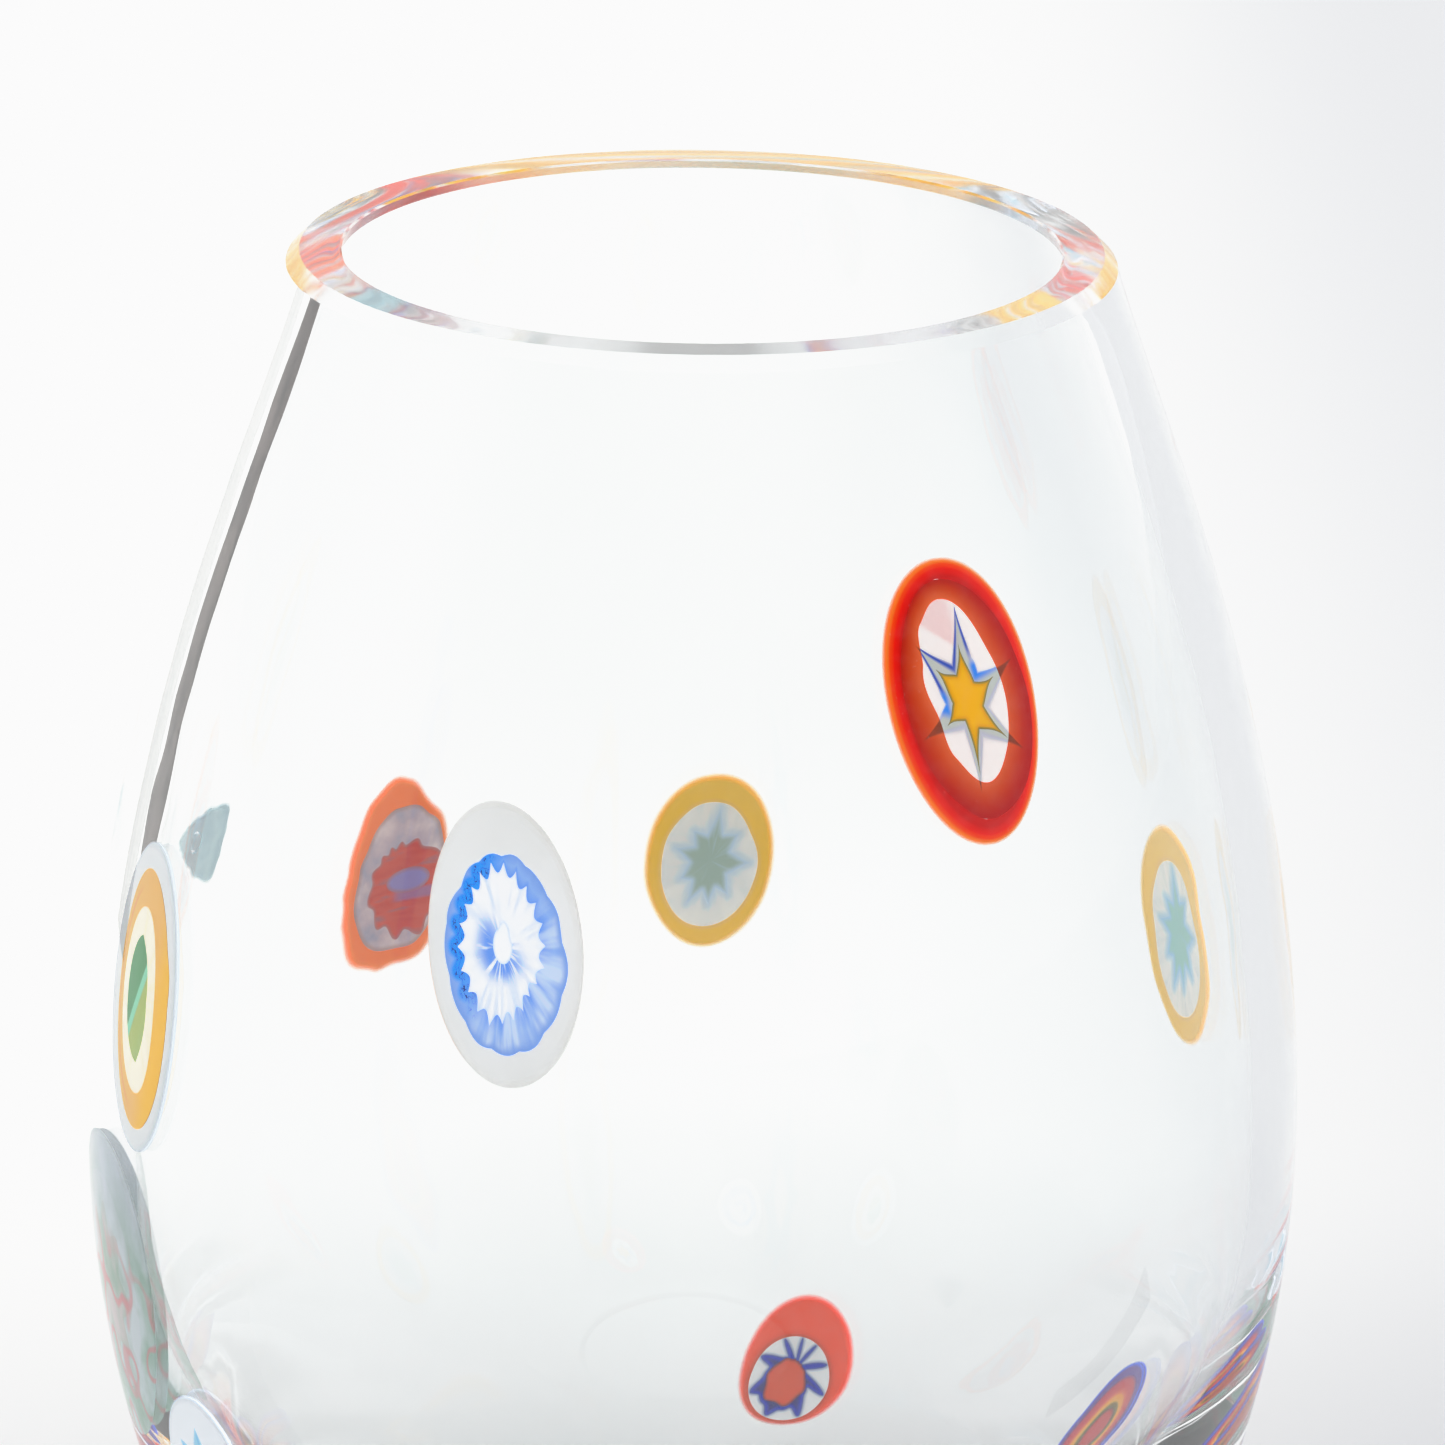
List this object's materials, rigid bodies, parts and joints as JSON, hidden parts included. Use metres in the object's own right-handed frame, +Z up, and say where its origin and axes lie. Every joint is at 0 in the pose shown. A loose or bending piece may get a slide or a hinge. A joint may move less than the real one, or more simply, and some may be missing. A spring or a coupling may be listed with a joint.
{
  "type": "cased glass vase",
  "caption": "Egg-shaped vase of cased clear glass with large oval murrine in its wall, a heavy solid foot and a flat-cut, bevelled rim; it holds water and cut flowers.",
  "frame": {"origin": "middle of the flat foot, on the surface that the vase stands on", "axes": "+Z up along the vase's turning axis; -Y faces the viewer, with the amber star murrina at its upper right"},
  "size_m": [0.157, 0.157, 0.215],
  "materials": {
    "amber_cane": "opaque amber glass",
    "blue_cane": "opaque blue glass",
    "brown_cane": "translucent reddish brown glass",
    "clear_crystal": "clear, fire-polished, with a ground and polished rim and foot",
    "cream_cane": "opaque ivory glass",
    "green_cane": "opaque green glass",
    "grey_cane": "milky grey glass",
    "lilac_cane": "opaque lilac glass",
    "orange_cane": "opaque orange glass",
    "pale_blue_cane": "milky pale blue glass",
    "red_cane": "opaque red glass",
    "teal_cane": "milky grey-teal glass",
    "white_cane": "opaque white glass",
    "yellow_cane": "opaque yellow glass"
  },
  "bodies": {
    "root": {"amber_star_brown_ring": "brown_cane", "amber_star_red_ring": "red_cane", "amber_star_star": "amber_cane", "amber_star_white_field": "white_cane", "blue_cog_blue_spikes": "blue_cane", "blue_cog_orange_ring": "orange_cane", "blue_cog_red_core": "orange_cane", "blue_cog_white_ring": "white_cane", "bullseye_blue_ring": "blue_cane", "bullseye_red_core": "red_cane", "bullseye_red_ring": "red_cane", "bullseye_yellow_ring": "yellow_cane", "green_eye_amber_ring": "amber_cane", "green_eye_cream_ring": "cream_cane", "green_eye_green_core": "green_cane", "green_eye_white_ring": "white_cane", "inner_bubble": "clear_crystal", "orange_wheel_grey_ring": "grey_cane", "orange_wheel_lilac_core": "lilac_cane", "orange_wheel_orange_ring": "orange_cane", "orange_wheel_red_cog": "red_cane", "outer_casing": "clear_crystal", "pale_star_blue_star": "pale_blue_cane", "pale_star_low_blue_star": "pale_blue_cane", "pale_star_low_white_core": "white_cane", "pale_star_low_white_ring": "white_cane", "pale_star_white_core": "white_cane", "pale_star_white_ring": "white_cane", "red_green_wheel_green_ring": "green_cane", "red_green_wheel_grey_ring": "grey_cane", "red_green_wheel_red_cog": "red_cane", "rosette_blue_ring": "blue_cane", "rosette_drop": "blue_cane", "rosette_petals": "white_cane", "rosette_white_ring": "white_cane", "teal_wheel_teal_core": "teal_cane", "teal_wheel_teal_ring": "teal_cane", "yellow_star_back_grey_field": "grey_cane", "yellow_star_back_star": "pale_blue_cane", "yellow_star_back_yellow_ring": "yellow_cane", "yellow_star_low_grey_field": "grey_cane", "yellow_star_low_star": "pale_blue_cane", "yellow_star_low_yellow_ring": "yellow_cane", "yellow_star_side_grey_field": "grey_cane", "yellow_star_side_star": "pale_blue_cane", "yellow_star_side_yellow_ring": "yellow_cane"}
  },
  "joints": []
}
